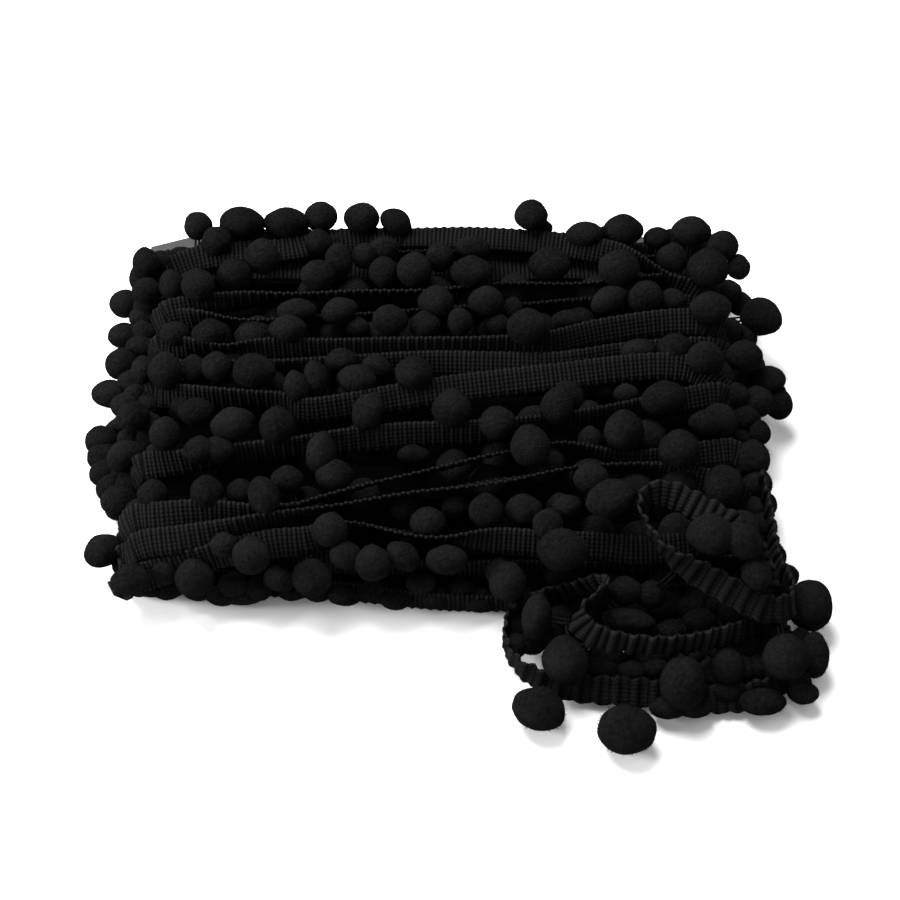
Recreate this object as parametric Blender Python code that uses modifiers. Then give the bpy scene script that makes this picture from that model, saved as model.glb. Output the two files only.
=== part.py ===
# Black pompom fringe trim, about ten metres, wound flat into a hank with a loose end in front.
# Metres, +Z up, +X along the turns, +Y towards the back. The origin is in the middle of the
# hank's underside, on the surface that it lies on.
import math

import bmesh
import bpy
from mathutils import Matrix, Vector

MM = 0.001
SHARP_ANGLE = math.radians(50)

# Stock sizes of the trim
TAPE_WIDTH = 11 * MM
TAPE_THICK = 1.2 * MM
BALL_RADIUS = 8 * MM
THREAD_RADIUS = 0.6 * MM
EDGE_CORD = 1.2 * MM
GAP = 0.3 * MM

# The wound form, over the header tape and without the balls
HANK_LENGTH = 238 * MM
HANK_DEPTH = 164 * MM
HANK_HEIGHT = 37 * MM
END_REACH = 15 * MM
SIDE_ROUND = 5 * MM
VALLEY_DEPTH = 3 * MM
UNEVEN = 1.4 * MM
TOP_PANELS = 12
END_PANELS = 4
FOOT_PANELS = 3
EVEN_TURN = 0.3

# The card that the trim is wound on: only the margin that shows at the back is made.
# The turns lie in its waist, and the margin behind them reaches past the hank's ends.
CARD_WAIST = 110 * MM
CARD_NECK = 81 * MM
CARD_HALF_LENGTH = 122 * MM
CARD_FRONT = 64 * MM
CARD_BACK = 90 * MM
CARD_LEVEL = 25 * MM
CARD_THICK = 2 * MM
CARD_CORNER = (16 * MM, 6 * MM)

# Rows of turns from front to back: how far each leans back to the right, and its crest
ROWS = [
    {"lean": 0, "crest": -4},
    {"lean": 5, "crest": -1},
    {"lean": 9, "crest": 0},
    {"lean": 11, "crest": -1},
    {"lean": 8, "crest": 1},
    {"lean": 2, "crest": 0},
    {"lean": -2, "crest": 1},
    {"lean": 4, "crest": 0},
    {"lean": 8, "crest": -1},
    {"lean": 4, "crest": 0},
    {"lean": 0, "crest": -2},
]

# Balls that stand out of the hank, centre in mm
BACK_BALLS = [
    {"x": -98, "y": 79, "z": 36}, {"x": -83, "y": 80, "z": 36}, {"x": -65, "y": 81, "z": 37},
    {"x": -48, "y": 81, "z": 36}, {"x": -31, "y": 82, "z": 36}, {"x": 37, "y": 80, "z": 38},
    {"x": 59, "y": 79, "z": 36}, {"x": 76, "y": 80, "z": 36}, {"x": 93, "y": 78, "z": 36},
    {"x": 112, "y": 73, "z": 33},
]
RIGHT_BALLS = [
    {"x": 124, "y": 60, "z": 24}, {"x": 124, "y": 43, "z": 25}, {"x": 118, "y": 16, "z": 32},
    {"x": 124, "y": 11, "z": 16}, {"x": 122, "y": -5, "z": 26}, {"x": 121, "y": -22, "z": 12},
    {"x": 117, "y": -29, "z": 30},
]
LEFT_BALLS = [
    {"x": -117, "y": 66, "z": 31}, {"x": -123, "y": 45, "z": 25}, {"x": -124, "y": 23, "z": 22},
    {"x": -122, "y": 6, "z": 14}, {"x": -116, "y": -8, "z": 33}, {"x": -122, "y": -20, "z": 15},
    {"x": -119, "y": -33, "z": 27}, {"x": -123, "y": -50, "z": 20}, {"x": -121, "y": -66, "z": 14},
    {"x": -113, "y": -78, "z": 11},
]
FRONT_BALLS = [
    {"x": -88, "y": -82, "z": 14}, {"x": -70, "y": -85, "z": 10}, {"x": -46, "y": -82, "z": 18},
    {"x": -27, "y": -85, "z": 9}, {"x": 2, "y": -80, "z": 26}, {"x": 15, "y": -84, "z": 10},
    {"x": 43, "y": -79, "z": 32}, {"x": 60, "y": -66, "z": 39},
]
TOP_BALLS = [
    {"x": -69, "y": 66, "z": 39}, {"x": 14, "y": 58, "z": 39}, {"x": 94, "y": 66, "z": 39},
    {"x": -60, "y": 34, "z": 38}, {"x": 35, "y": 30, "z": 38}, {"x": 71, "y": -21, "z": 38},
    {"x": -83, "y": -18, "z": 38},
]

# The loose end: middle of the tape in mm, and its turn in degrees. At 0 the tape lies flat with
# the fringe on the right of its run, at 90 it stands on edge with the fringe down.
LOOSE_ROUTE = [
    {"x": 120.3, "y": -40, "z": 26, "turn": 88}, {"x": 121.5, "y": -54, "z": 25, "turn": 88},
    {"x": 121.3, "y": -68, "z": 24, "turn": 88}, {"x": 122, "y": -79, "z": 23, "turn": 88},
    {"x": 125.5, "y": -89, "z": 24, "turn": 95}, {"x": 124.5, "y": -98, "z": 26, "turn": 110},
    {"x": 117, "y": -102, "z": 28, "turn": 130}, {"x": 108, "y": -100, "z": 31, "turn": 140},
    {"x": 98, "y": -96, "z": 35, "turn": 138}, {"x": 88, "y": -92, "z": 39, "turn": 108},
    {"x": 80, "y": -87, "z": 42, "turn": 74}, {"x": 75, "y": -80, "z": 44, "turn": 68},
    {"x": 72, "y": -73, "z": 46, "turn": 70}, {"x": 75, "y": -66.5, "z": 47.5, "turn": 62},
    {"x": 83, "y": -65.5, "z": 46.5, "turn": 38}, {"x": 92, "y": -69.5, "z": 45, "turn": 25},
    {"x": 102, "y": -75, "z": 43, "turn": 25}, {"x": 110, "y": -83, "z": 39, "turn": 38},
    {"x": 115, "y": -90, "z": 30, "turn": 60}, {"x": 118, "y": -93, "z": 20, "turn": 80},
    {"x": 122, "y": -97, "z": 11, "turn": 90}, {"x": 127, "y": -106, "z": 8, "turn": 90},
    {"x": 124, "y": -116, "z": 8, "turn": 100}, {"x": 114, "y": -122.5, "z": 7, "turn": 122},
    {"x": 101, "y": -124.5, "z": 6, "turn": 138}, {"x": 86, "y": -123.5, "z": 6, "turn": 140},
    {"x": 72, "y": -122, "z": 6, "turn": 140}, {"x": 58, "y": -121, "z": 6, "turn": 138},
    {"x": 45, "y": -120, "z": 7, "turn": 128}, {"x": 35, "y": -117, "z": 8, "turn": 110},
    {"x": 28, "y": -112, "z": 9, "turn": 96}, {"x": 24, "y": -104, "z": 11, "turn": 90},
    {"x": 25, "y": -96, "z": 13, "turn": 90}, {"x": 30, "y": -90, "z": 12.5, "turn": 90},
    {"x": 38, "y": -87.5, "z": 14.5, "turn": 90}, {"x": 47, "y": -87.5, "z": 18, "turn": 90},
    {"x": 55, "y": -88.5, "z": 23, "turn": 88}, {"x": 59, "y": -92.5, "z": 28, "turn": 88},
    {"x": 57, "y": -98, "z": 31, "turn": 84}, {"x": 51.5, "y": -101.5, "z": 30.5, "turn": 72},
    {"x": 48.5, "y": -105, "z": 29.5, "turn": 56}, {"x": 51, "y": -110, "z": 27.5, "turn": 58},
    {"x": 57, "y": -113, "z": 26, "turn": 74}, {"x": 65, "y": -114, "z": 25, "turn": 90},
    {"x": 75, "y": -114.5, "z": 24, "turn": 92},
    {"x": 87, "y": -113, "z": 23, "turn": 86}, {"x": 99, "y": -109, "z": 21, "turn": 78},
    {"x": 108, "y": -104, "z": 18, "turn": 78}, {"x": 113, "y": -99, "z": 16, "turn": 84},
    {"x": 112, "y": -94.5, "z": 10.5, "turn": 100}, {"x": 108, "y": -90.5, "z": 7.5, "turn": 125},
    {"x": 101, "y": -89, "z": 5, "turn": 150}, {"x": 92, "y": -89.5, "z": 3.4, "turn": 166},
    {"x": 80, "y": -90, "z": 2.8, "turn": 172}, {"x": 68, "y": -90, "z": 2.8, "turn": 172},
    {"x": 58, "y": -90.5, "z": 4.2, "turn": 154}, {"x": 50, "y": -93.5, "z": 6.8, "turn": 124},
    {"x": 46.5, "y": -99, "z": 7.8, "turn": 104}, {"x": 50, "y": -104.5, "z": 6.8, "turn": 124},
    {"x": 58, "y": -107.5, "z": 4.2, "turn": 154}, {"x": 68, "y": -108, "z": 2.8, "turn": 172},
    {"x": 80, "y": -107.5, "z": 2.8, "turn": 172}, {"x": 92, "y": -106, "z": 2.8, "turn": 172},
    {"x": 102, "y": -104, "z": 3, "turn": 170},
]
LOOSE_SECTIONS = 94

# Balls of the loose end, centre and radius in mm
LOOSE_BALLS = [
    {"x": 137, "y": -88, "z": 11, "r": 8}, {"x": 116, "y": -117, "z": 21, "r": 8},
    {"x": 77.5, "y": -92, "z": 25, "r": 6.5}, {"x": 68.5, "y": -91, "z": 20.5, "r": 6.5},
    {"x": 95, "y": -85, "z": 47.5, "r": 7.5}, {"x": 94, "y": -97, "z": 11, "r": 6},
    {"x": 137, "y": -110, "z": 9, "r": 8.5}, {"x": 132, "y": -125, "z": 8, "r": 7.5},
    {"x": 113, "y": -133.5, "z": 8, "r": 7.5}, {"x": 85, "y": -127, "z": 15, "r": 8.5},
    {"x": 65, "y": -136, "z": 9, "r": 9}, {"x": 35, "y": -129, "z": 9, "r": 9},
    {"x": 35, "y": -101, "z": 15, "r": 7}, {"x": 41, "y": -113, "z": 21, "r": 7},
    {"x": 67, "y": -102, "z": 13, "r": 7}, {"x": 82, "y": -102, "z": 12, "r": 7},
    {"x": 103, "y": -121, "z": 17, "r": 6}, {"x": 51, "y": -135, "z": 8, "r": 8},
]


def clear_scene():
    for obj in list(bpy.data.objects):
        bpy.data.objects.remove(obj, do_unlink=True)


def collection(name):
    made = bpy.data.collections.new(name)
    bpy.context.scene.collection.children.link(made)
    return made


def material(name, colour, roughness):
    made = bpy.data.materials.new(name)
    made.use_nodes = True
    shader = made.node_tree.nodes["Principled BSDF"]
    shader.inputs["Base Color"].default_value = (*colour, 1)
    shader.inputs["Roughness"].default_value = roughness
    return made


def new_object(name, bm, group, finish=None):
    mesh = bpy.data.meshes.new(name)
    bm.to_mesh(mesh)
    bm.free()
    mesh.shade_smooth()
    mesh.set_sharp_from_angle(angle=SHARP_ANGLE)
    obj = bpy.data.objects.new(name, mesh)
    group.objects.link(obj)
    if finish:
        mesh.materials.append(finish)
    return obj


def guide(name, bm, group):
    """A shape that is joined to a solid or cut out of it."""
    obj = new_object(name, bm, group)
    obj.hide_render = True
    obj.display_type = "WIRE"
    return obj


def boolean(obj, operation, cutter=None, group=None):
    modifier = obj.modifiers.new(operation.lower(), "BOOLEAN")
    modifier.operation = operation
    modifier.solver = "EXACT"
    if group:
        modifier.operand_type = "COLLECTION"
        modifier.collection = group
    else:
        modifier.object = cutter


def row_place(across, along):
    """Depth position and crest height, in metres, at a place across the rows (0 to 1)."""
    spot = across * len(ROWS) - 0.5
    low = max(0, min(len(ROWS) - 2, math.floor(spot)))
    part = max(0.0, min(1.0, spot - low))
    lean = ROWS[low]["lean"] * (1 - part) + ROWS[low + 1]["lean"] * part
    crest = ROWS[low]["crest"] * (1 - part) + ROWS[low + 1]["crest"] * part
    depth = (across - 0.5) * HANK_DEPTH + lean * MM * along
    return depth, crest * MM


def valley(across):
    """0 on a turn of tape, 1 in the dip between two turns."""
    spot = (across * len(ROWS)) % 1.0
    return max(0.0, 1 - min(spot, 1 - spot) / 0.25)


def ring_point(around, across):
    """A point of the wound form: round one turn, and across the turns."""
    panels = TOP_PANELS + FOOT_PANELS + 2 * END_PANELS
    step = around * panels
    flat = HANK_LENGTH / 2 - END_REACH
    if step <= TOP_PANELS:
        x, up, out = -flat + 2 * flat * step / TOP_PANELS, 1.0, 0.0
    elif step <= TOP_PANELS + END_PANELS:
        angle = math.pi * (step - TOP_PANELS) / END_PANELS
        x, up, out = flat, math.cos(angle), math.sin(angle)
    elif step <= TOP_PANELS + END_PANELS + FOOT_PANELS:
        share = (step - TOP_PANELS - END_PANELS) / FOOT_PANELS
        x, up, out = flat - 2 * flat * share, -1.0, 0.0
    else:
        angle = math.pi * (step - TOP_PANELS - END_PANELS - FOOT_PANELS) / END_PANELS
        x, up, out = -flat, -math.cos(angle), -math.sin(angle)
    depth, crest = row_place(across, x / HANK_LENGTH)
    upper = max(0.0, up)
    side = 1 - min(1.0, min(across, 1 - across) / 0.045)
    dip = valley(across) * VALLEY_DEPTH * (0.4 + 0.6 * upper) * (1 - side) if up > -0.9 else 0
    wave = UNEVEN * math.sin(x / (31 * MM) + 9 * across) * math.cos(17 * across) * upper
    half = HANK_HEIGHT / 2
    z = half + up * half + upper * (crest + wave - dip - side * SIDE_ROUND)
    x += out * (END_REACH - dip - side * SIDE_ROUND)
    return Vector((x, depth, max(0.0, z)))


def bent_grid(columns, rows, place):
    """A flat grid whose points go where place(along, across) says, both from 0 to 1."""
    bm = bmesh.new()
    bmesh.ops.create_grid(bm, x_segments=columns, y_segments=rows, size=1)
    for vertex in bm.verts:
        vertex.co = place((vertex.co.x + 1) / 2, (vertex.co.y + 1) / 2)
    return bm


def row_stop(share):
    """Grid lines across the rows fall on each turn's two edges and in each dip."""
    line = round(share * 3 * len(ROWS))
    row, kind = divmod(line, 3)
    return (row + (0, EVEN_TURN, 1 - EVEN_TURN)[kind]) / len(ROWS)


def ball(name, spot, radius, group):
    bm = bmesh.new()
    centre = Vector((spot["x"], spot["y"], spot["z"])) * MM
    bmesh.ops.create_icosphere(bm, subdivisions=2, radius=radius, matrix=Matrix.Translation(centre))
    guide(name, bm, group)
    return centre


def thread(name, start, end, radius, group):
    run = end - start
    bm = bmesh.new()
    turned = run.to_track_quat("Z", "Y").to_matrix().to_4x4()
    bmesh.ops.create_cone(
        bm, cap_ends=True, segments=5, radius1=radius, radius2=radius,
        depth=run.length, matrix=Matrix.Translation((start + end) / 2) @ turned,
    )
    guide(name, bm, group)
    return run.length


def hank(group, guides, finish):
    panels = TOP_PANELS + FOOT_PANELS + 2 * END_PANELS
    bm = bent_grid(panels, 3 * len(ROWS), lambda around, share: ring_point(around, row_stop(share)))
    bmesh.ops.remove_doubles(bm, verts=bm.verts, dist=0.05 * MM)
    bmesh.ops.holes_fill(bm, edges=[edge for edge in bm.edges if edge.is_boundary])
    bmesh.ops.triangulate(bm, faces=[face for face in bm.faces if len(face.verts) > 4])
    bmesh.ops.recalc_face_normals(bm, faces=bm.faces)
    made = new_object("hank", bm, group, finish)
    for place, balls in (
        ("back", BACK_BALLS), ("right", RIGHT_BALLS), ("left", LEFT_BALLS),
        ("front", FRONT_BALLS), ("top", TOP_BALLS),
    ):
        for count, spot in enumerate(balls):
            ball(f"{place}_ball_{count}", spot, BALL_RADIUS, guides)
    boolean(made, "UNION", group=guides)
    return made


def card(group, cutters, wound, finish):
    """The card's back margin with its cut corners, and the slot in the hank that holds it."""
    outline = bpy.data.curves.new("card_core", "CURVE")
    outline.dimensions = "2D"
    outline.fill_mode = "BOTH"
    outline.extrude = CARD_THICK / 2
    along, deep = CARD_CORNER
    corners = [
        (-CARD_WAIST, CARD_FRONT), (CARD_WAIST, CARD_FRONT),
        (CARD_WAIST, CARD_NECK), (CARD_HALF_LENGTH, CARD_NECK),
        (CARD_HALF_LENGTH, CARD_BACK - deep), (CARD_HALF_LENGTH - along, CARD_BACK),
        (along - CARD_HALF_LENGTH, CARD_BACK), (-CARD_HALF_LENGTH, CARD_BACK - deep),
        (-CARD_HALF_LENGTH, CARD_NECK), (-CARD_WAIST, CARD_NECK),
    ]
    line = outline.splines.new("POLY")
    line.points.add(len(corners) - 1)
    for point, (x, y) in zip(line.points, corners):
        point.co = (x, y, 0, 1)
    line.use_cyclic_u = True
    made = bpy.data.objects.new("card_core", outline)
    made.location.z = CARD_LEVEL + CARD_THICK / 2
    outline.materials.append(finish)
    group.objects.link(made)

    for count, (half, start) in enumerate(((CARD_WAIST, CARD_FRONT), (CARD_HALF_LENGTH, CARD_NECK))):
        bm = bmesh.new()
        bmesh.ops.create_cube(bm, size=1)
        size = Vector((2 * (half + GAP), HANK_DEPTH, CARD_THICK + 2 * GAP))
        bmesh.ops.scale(bm, vec=size, verts=bm.verts)
        middle = Vector((0, start - GAP + HANK_DEPTH / 2, CARD_LEVEL + CARD_THICK / 2))
        bmesh.ops.translate(bm, vec=middle, verts=bm.verts)
        boolean(wound, "DIFFERENCE", cutter=guide(f"card_slot_{count}", bm, cutters))


def route_at(share):
    """Middle of the loose tape and its turn, on a smooth curve through the route's points."""
    spot = share * (len(LOOSE_ROUTE) - 1)
    first = min(len(LOOSE_ROUTE) - 2, math.floor(spot))
    part = spot - first
    near = [LOOSE_ROUTE[max(0, min(len(LOOSE_ROUTE) - 1, first + k))] for k in (-1, 0, 1, 2)]
    values = []
    for key in ("x", "y", "z", "turn"):
        a, b, c, d = (row[key] for row in near)
        values.append(0.5 * (2 * b + (c - a) * part + (2 * a - 5 * b + 4 * c - d) * part**2
                             + (3 * b - a - 3 * c + d) * part**3))
    return Vector(values[:3]) * MM, math.radians(values[3])


def tape_frame(share):
    """Middle of the loose tape and the direction from its plain edge to its fringe edge."""
    middle, turn = route_at(share)
    ahead = route_at(min(1.0, share + 0.002))[0] - route_at(max(0.0, share - 0.002))[0]
    ahead.normalize()
    right = ahead.cross(Vector((0, 0, 1))).normalized()
    down = ahead.cross(right).normalized()
    return middle, right * math.cos(turn) + down * math.sin(turn)


def ribbon(name, near, far, thick, group, finish):
    """A strip that follows the loose tape, between two distances from the tape's middle."""
    def place(along, across):
        middle, outward = tape_frame(along)
        return middle + outward * (near + (far - near) * across)

    made = new_object(name, bent_grid(LOOSE_SECTIONS, 1, place), group, finish)
    solid = made.modifiers.new("thickness", "SOLIDIFY")
    solid.thickness = thick
    solid.offset = 0
    return made


def loose_fringe(group, guides, finish):
    """The comb: a cord along the tape's lower edge, and each ball on its threads."""
    near = TAPE_WIDTH / 2 + GAP
    made = ribbon("loose_fringe", near, near + EDGE_CORD, EDGE_CORD, group, finish)
    edge = []
    for count in range(LOOSE_SECTIONS + 1):
        middle, outward = tape_frame(count / LOOSE_SECTIONS)
        edge.append(middle + outward * (near + EDGE_CORD * 0.8))
    for count, spot in enumerate(LOOSE_BALLS):
        centre = ball(f"loose_ball_{count}", spot, spot["r"] * MM, guides)
        start = min(edge, key=lambda point: (point - centre).length)
        run = thread(f"loose_thread_{count}", start, centre, THREAD_RADIUS, guides)
        print(f"loose ball {count}: {run / MM - spot['r']:.1f} mm of thread shows")
    boolean(made, "UNION", group=guides)


def main():
    clear_scene()
    trim = collection("pompom_fringe_trim")
    hank_guides = collection("hank_balls")
    fringe_guides = collection("loose_balls")
    cutters = collection("cutters")
    tape_black = material("black_cotton_tape", (0.012, 0.012, 0.013), 0.85)
    ball_black = material("black_wool_pile", (0.009, 0.009, 0.010), 0.95)
    wound_black = material("black_wound_trim", (0.010, 0.010, 0.011), 0.9)
    grey_card = material("grey_card", (0.05, 0.05, 0.05), 0.8)

    wound = hank(trim, hank_guides, wound_black)
    card(trim, cutters, wound, grey_card)
    ribbon("loose_header", -TAPE_WIDTH / 2, TAPE_WIDTH / 2, TAPE_THICK, trim, tape_black)
    loose_fringe(trim, fringe_guides, ball_black)


main()
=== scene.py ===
# Black pompom fringe trim: a flat hank of wound ball fringe with its loose end in front.
# Lengths in the tables are millimetres; px and py are pixels of the 900 x 900 picture.
import math
import random

import bmesh
import bpy
import numpy as np
from mathutils import Matrix, Vector


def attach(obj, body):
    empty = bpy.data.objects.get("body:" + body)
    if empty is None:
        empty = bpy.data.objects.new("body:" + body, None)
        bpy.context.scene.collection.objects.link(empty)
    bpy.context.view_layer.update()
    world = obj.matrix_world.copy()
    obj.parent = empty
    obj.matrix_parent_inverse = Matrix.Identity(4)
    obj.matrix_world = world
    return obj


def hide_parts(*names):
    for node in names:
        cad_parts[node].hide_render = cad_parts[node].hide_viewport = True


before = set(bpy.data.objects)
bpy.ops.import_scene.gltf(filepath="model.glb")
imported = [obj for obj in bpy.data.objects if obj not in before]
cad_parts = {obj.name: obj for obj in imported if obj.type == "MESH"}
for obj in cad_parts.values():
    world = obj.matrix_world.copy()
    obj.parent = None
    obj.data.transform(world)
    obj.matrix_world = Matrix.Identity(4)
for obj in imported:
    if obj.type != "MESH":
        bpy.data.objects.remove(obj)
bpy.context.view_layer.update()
mm = 0.001

# The camera stands where the picture's camera stood
photoView = {"aim": (4, -22, 20), "elevation": 50, "distance": 650, "focalPixels": 1690, "side": 900}

tilt = math.radians(photoView["elevation"])
toCamera = Vector((0, -math.cos(tilt), math.sin(tilt)))
pictureUp = Vector((0, math.sin(tilt), math.cos(tilt)))
eye = Vector(photoView["aim"]) + toCamera * photoView["distance"]


def photoRay(px, py):
    middle = photoView["side"] / 2
    right, up = (px - middle) / photoView["focalPixels"], (middle - py) / photoView["focalPixels"]
    return Vector((right, 0, 0)) + pictureUp * up - toCamera


def onHeight(px, py, z):  # where the picture's pixel falls at a height, mm
    ray = photoRay(px, py)
    return eye + ray * ((z - eye.z) / ray.z)


def onWall(px, py, y):  # where it falls on an upright plane across the view, mm
    ray = photoRay(px, py)
    return eye + ray * ((y - eye.y) / ray.y)


def pixelsPerMm(point):
    return photoView["focalPixels"] / (eye - point).dot(toCamera)


cameraData = bpy.data.cameras.new("photoCamera")
cameraData.sensor_width = 36
cameraData.lens = 36 * photoView["focalPixels"] / photoView["side"]
cameraData.clip_end = 20
camera = bpy.data.objects.new("photoCamera", cameraData)
camera.location = eye * mm
camera.rotation_euler = (-toCamera).to_track_quat("-Z", "Y").to_euler()
bpy.context.scene.collection.objects.link(camera)
bpy.context.scene.camera = camera
print("camera set")


def hexColour(code):
    parts = [int(code[k:k + 2], 16) / 255 for k in (1, 3, 5)]
    return (*[c / 12.92 if c <= 0.04045 else ((c + 0.055) / 1.055) ** 2.4 for c in parts], 1)


def addNode(tree, kind, settings=None, links=None):
    node = tree.nodes.new(kind)
    for name, value in (settings or {}).items():
        if isinstance(name, int) or name in node.inputs:
            node.inputs[name].default_value = value
        else:
            setattr(node, name, value)
    for name, source in (links or {}).items():
        tree.links.new(source, node.inputs[name])
    return node


def setRamp(ramp, low, high):  # place and colour of a colour ramp's two ends
    for end, (place, code) in zip(ramp.color_ramp.elements, (low, high)):
        end.position = place
        end.color = hexColour(code)


def newMaterial(name):
    material = bpy.data.materials.new(name)
    material.use_nodes = True
    return material, material.node_tree, material.node_tree.nodes["Principled BSDF"]


def patternScale(size):  # a noise texture's scale for a pattern of that size, mm
    return 1 / (size * mm)


# Woven cotton gimp tape: round cross ribs over lengthwise cords. The eye gets dull black; the colour holds
# painted shade in the grooves, painted light on each rib and a painted highlight on the beaded edge. Its lint
# is drawn coarser than cotton's, to show at all.
weave = {"rib": 1.75, "cord": 1.6, "cordShare": 0.27, "lint": 1.1111, "lintShare": 0.5, "wear": 16.667,
         "valley": "#060606", "crest": "#121212", "edge": "#121213", "edgeStart": 4.1, "edgeFull": 5.0,
         "bump": 1.0, "bumpDeep": 0.8, "roughness": 0.7, "gloss": 0.01}


def cottonTape():
    material, tree, shader = newMaterial("wovenCottonTape")
    place = addNode(tree, "ShaderNodeUVMap", {"uv_map": "weave"})
    split = addNode(tree, "ShaderNodeSeparateXYZ", links={0: place.outputs[0]})
    ribTurn = addNode(tree, "ShaderNodeMath", {"operation": "MULTIPLY", 1: math.pi / weave["rib"]},
                      {0: split.outputs[0]})
    ribWave = addNode(tree, "ShaderNodeMath", {"operation": "SINE"}, {0: ribTurn.outputs[0]})
    rib = addNode(tree, "ShaderNodeMath", {"operation": "ABSOLUTE"}, {0: ribWave.outputs[0]})
    cordTurn = addNode(tree, "ShaderNodeMath", {"operation": "MULTIPLY", 1: math.pi / weave["cord"]},
                       {0: split.outputs[1]})
    cordWave = addNode(tree, "ShaderNodeMath", {"operation": "COSINE"}, {0: cordTurn.outputs[0]})
    cord = addNode(tree, "ShaderNodeMath", {"operation": "ABSOLUTE"}, {0: cordWave.outputs[0]})
    both = addNode(tree, "ShaderNodeMath", {"operation": "MULTIPLY_ADD", 1: weave["cordShare"]},
                   {0: cord.outputs[0], 2: rib.outputs[0]})
    coords = addNode(tree, "ShaderNodeTexCoord")
    lint = addNode(tree, "ShaderNodeTexNoise", {"Scale": patternScale(weave["lint"]), "Detail": 3},
                   {"Vector": coords.outputs["Object"]})
    height = addNode(tree, "ShaderNodeMath", {"operation": "MULTIPLY_ADD", 1: weave["lintShare"]},
                     {0: lint.outputs["Fac"], 2: both.outputs[0]})
    # painted shade: darker in the grooves between ribs and cords, with painted light on their crests
    shade = addNode(tree, "ShaderNodeValToRGB", links={"Fac": both.outputs[0]})
    setRamp(shade, (0.4, weave["valley"]), (1.3, weave["crest"]))
    wear = addNode(tree, "ShaderNodeTexNoise", {"Scale": patternScale(weave["wear"]), "Detail": 2},
                   {"Vector": coords.outputs["Object"]})
    worn = addNode(tree, "ShaderNodeMix", {"data_type": "RGBA", "blend_type": "MULTIPLY", "Factor": 0.5},
                   {6: shade.outputs[0], 7: wear.outputs["Fac"]})
    # painted highlight: the ribs along each edge are made lighter
    fromMiddle = addNode(tree, "ShaderNodeMath", {"operation": "ABSOLUTE"}, {0: split.outputs[1]})
    edgeHighlightBand = addNode(tree, "ShaderNodeMapRange",
                       {"From Min": weave["edgeStart"], "From Max": weave["edgeFull"]},
                       {"Value": fromMiddle.outputs[0]})
    edgeHighlightMask = addNode(tree, "ShaderNodeMath", {"operation": "MULTIPLY"},
                   {0: edgeHighlightBand.outputs[0], 1: rib.outputs[0]})
    edgeHighlighted = addNode(tree, "ShaderNodeMix", {"data_type": "RGBA", 7: hexColour(weave["edge"])},
                     {"Factor": edgeHighlightMask.outputs[0], 6: worn.outputs[2]})
    bump = addNode(tree, "ShaderNodeBump", {"Strength": weave["bump"], "Distance": weave["bumpDeep"] * mm},
                   {"Height": height.outputs[0]})
    tree.links.new(edgeHighlighted.outputs[2], shader.inputs["Base Color"])
    tree.links.new(bump.outputs[0], shader.inputs["Normal"])
    shader.inputs["Roughness"].default_value = weave["roughness"]
    shader.inputs["Specular IOR Level"].default_value = weave["gloss"]
    return material


# Brushed wool pile of the balls: the eye gets a soft black without shine, in faint tufts and broad
# worn places. A wool fibre is 0.03 mm thick, so the fibres are drawn some ten times coarser.
pile = {"dark": "#060606", "light": "#131313", "tuft": 1.5625, "broad": 17.241, "broadShare": 0.6,
        "fibre": 0.41667, "fibreShare": 0.5, "bump": 1.0, "bumpDeep": 2.2, "roughness": 0.9, "sheen": 0.002,
        "sheenRoughness": 0.6}


def woolPile(name, finer):
    material, tree, shader = newMaterial(name)
    coords = addNode(tree, "ShaderNodeTexCoord")
    tuft = addNode(tree, "ShaderNodeTexNoise",
                   {"Scale": patternScale(pile["tuft"] / finer), "Detail": 4, "Roughness": 0.65},
                   {"Vector": coords.outputs["Object"]})
    broad = addNode(tree, "ShaderNodeTexNoise", {"Scale": patternScale(pile["broad"]), "Detail": 1},
                    {"Vector": coords.outputs["Object"]})
    fibre = addNode(tree, "ShaderNodeTexNoise", {"Scale": patternScale(pile["fibre"] / finer), "Detail": 3},
                    {"Vector": coords.outputs["Object"]})
    mixed = addNode(tree, "ShaderNodeMath", {"operation": "MULTIPLY_ADD", 1: pile["broadShare"]},
                    {0: broad.outputs["Fac"], 2: tuft.outputs["Fac"]})
    shade = addNode(tree, "ShaderNodeValToRGB", links={"Fac": mixed.outputs[0]})
    setRamp(shade, (0.5, pile["dark"]), (1.1, pile["light"]))
    height = addNode(tree, "ShaderNodeMath", {"operation": "MULTIPLY_ADD", 1: pile["fibreShare"]},
                     {0: fibre.outputs["Fac"], 2: tuft.outputs["Fac"]})
    bump = addNode(tree, "ShaderNodeBump", {"Strength": pile["bump"], "Distance": pile["bumpDeep"] * mm},
                   {"Height": height.outputs[0]})
    tree.links.new(shade.outputs[0], shader.inputs["Base Color"])
    tree.links.new(bump.outputs[0], shader.inputs["Normal"])
    shader.inputs["Roughness"].default_value = pile["roughness"]
    shader.inputs["Specular IOR Level"].default_value = 0
    shader.inputs["Sheen Weight"].default_value = pile["sheen"]
    shader.inputs["Sheen Roughness"].default_value = pile["sheenRoughness"]
    return material


# Grey board, pressed from pulp: the eye gets a flat dark grey with faint flecks. They are drawn
# coarser than the pulp's own, to show at all.
board = {"dark": "#101011", "light": "#1b1b1b", "fleck": 1.4286, "bump": 0.25, "bumpDeep": 0.3,
         "roughness": 0.85}


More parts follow.
